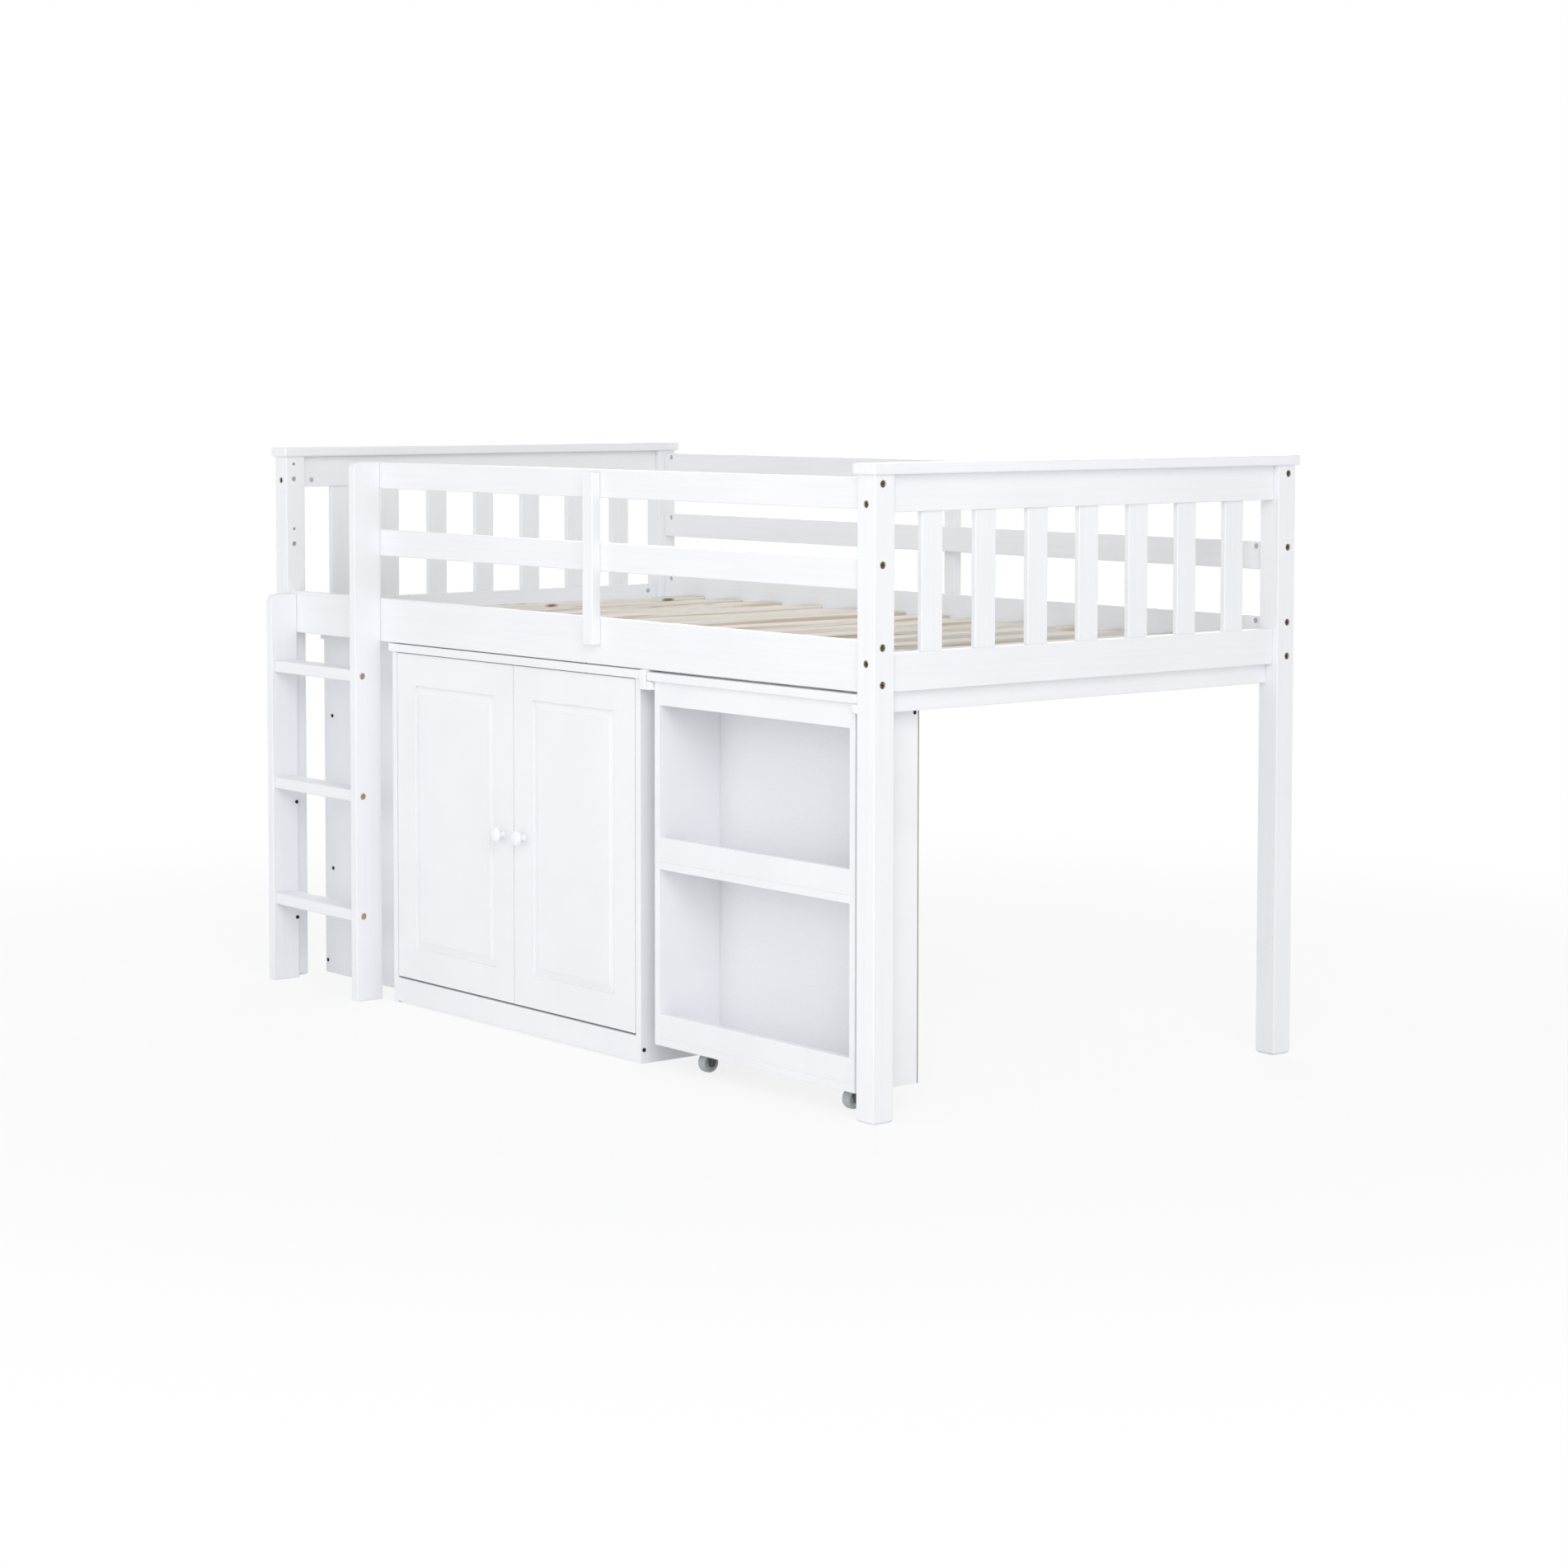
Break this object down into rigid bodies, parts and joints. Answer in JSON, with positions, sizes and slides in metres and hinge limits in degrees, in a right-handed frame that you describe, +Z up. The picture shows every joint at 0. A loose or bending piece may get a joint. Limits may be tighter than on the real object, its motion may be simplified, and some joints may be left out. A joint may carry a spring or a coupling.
{
  "type": "loft bed",
  "caption": "Low wooden loft bed, white, slatted deck, ladder, guard rails, cabinet with hinged doors, end shelf and a pull-out desk with a bookcase on casters.",
  "frame": {"origin": "centre of the bounding box on the floor", "axes": "+X along the bed from headboard to footboard, +Y from the ladder side to the rear, +Z up"},
  "size_m": [2.014, 1.1552, 1.173],
  "materials": {
    "white_paint": "white semi-gloss paint",
    "white_panel": "white panel finish",
    "white_door": "white routed door finish",
    "white_knob": "white gloss paint",
    "pine": "raw pine",
    "beech": "raw dowel",
    "bolt_brass": "antique brass plating",
    "zinc": "zinc plating",
    "dark_screw": "dark zinc",
    "hinge_steel": "nickel plating",
    "caster_steel": "dark coating",
    "caster_tyre": "grey moulding"
  },
  "bodies": {
    "bed": {"barrel_nuts": "zinc", "cabinet_back": "white_paint", "cabinet_bottom": "white_paint", "cabinet_left_side": "white_paint", "cabinet_plinth": "white_paint", "cabinet_right_side": "white_paint", "cabinet_shelf": "white_paint", "cabinet_top": "white_paint", "desk_runner_boards": "white_paint", "desk_runner_ledges": "white_paint", "end_shelf_boards": "white_paint", "end_shelf_front_panel": "white_paint", "end_shelf_rear_panel": "white_paint", "end_shelf_top": "white_paint", "footboard_bottom_rail": "white_paint", "footboard_cap": "white_paint", "footboard_spindles": "white_paint", "footboard_top_rail": "white_paint", "frame_bolts": "bolt_brass", "front_guard_rails": "white_paint", "front_guard_stile": "white_paint", "front_ledger": "white_paint", "front_left_post": "white_paint", "front_right_post": "white_paint", "front_side_rail": "white_paint", "headboard_bottom_rail": "white_paint", "headboard_cap": "white_paint", "headboard_spindles": "white_paint", "headboard_top_rail": "white_paint", "hinge_arms": "hinge_steel", "joint_dowels": "beech", "ladder_bolts": "bolt_brass", "ladder_left_upright": "white_paint", "ladder_right_upright": "white_paint", "ladder_treads": "white_paint", "mattress_slats": "pine", "rear_guard_rails": "white_paint", "rear_guard_stile": "white_paint", "rear_ledger": "white_paint", "rear_left_post": "white_paint", "rear_right_post": "white_paint", "rear_side_rail": "white_paint", "wood_screws": "dark_screw"},
    "left_door": {"left_door": "white_door", "left_door_knob": "white_knob", "left_hinge_cups": "hinge_steel"},
    "right_door": {"right_door": "white_door", "right_door_knob": "white_knob", "right_hinge_cups": "hinge_steel"},
    "desk": {"desk_top": "white_panel", "bookcase_left_side": "white_panel", "bookcase_right_side": "white_panel", "bookcase_rails": "white_panel", "bookcase_shelves": "white_panel", "bookcase_lips": "white_panel", "bookcase_back": "white_panel", "caster_forks": "caster_steel", "bookcase_screws": "dark_screw"},
    "left_wheel": {"left_caster_wheel": "caster_tyre"},
    "right_wheel": {"right_caster_wheel": "caster_tyre"}
  },
  "joints": [
    {"name": "left_door_hinge", "type": "hinge", "parent": "bed", "child": "left_door", "pos_m": [-0.5236, -0.501, 0.4015], "axis": [0, 0, -1], "range_deg": [0, 90]},
    {"name": "right_door_hinge", "type": "hinge", "parent": "bed", "child": "right_door", "pos_m": [0.2776, -0.501, 0.4015], "axis": [0, 0, 1], "range_deg": [0, 90]},
    {"name": "desk_slide", "type": "slide", "parent": "bed", "child": "desk", "axis": [0, -1, 0], "range_m": [0, 0.5]},
    {"name": "left_wheel_spin", "type": "hinge", "parent": "desk", "child": "left_wheel", "pos_m": [0.448, -0.4535, 0.019], "axis": [1, 0, 0], "continuous": true},
    {"name": "right_wheel_spin", "type": "hinge", "parent": "desk", "child": "right_wheel", "pos_m": [0.867, -0.4535, 0.019], "axis": [1, 0, 0], "continuous": true}
  ]
}
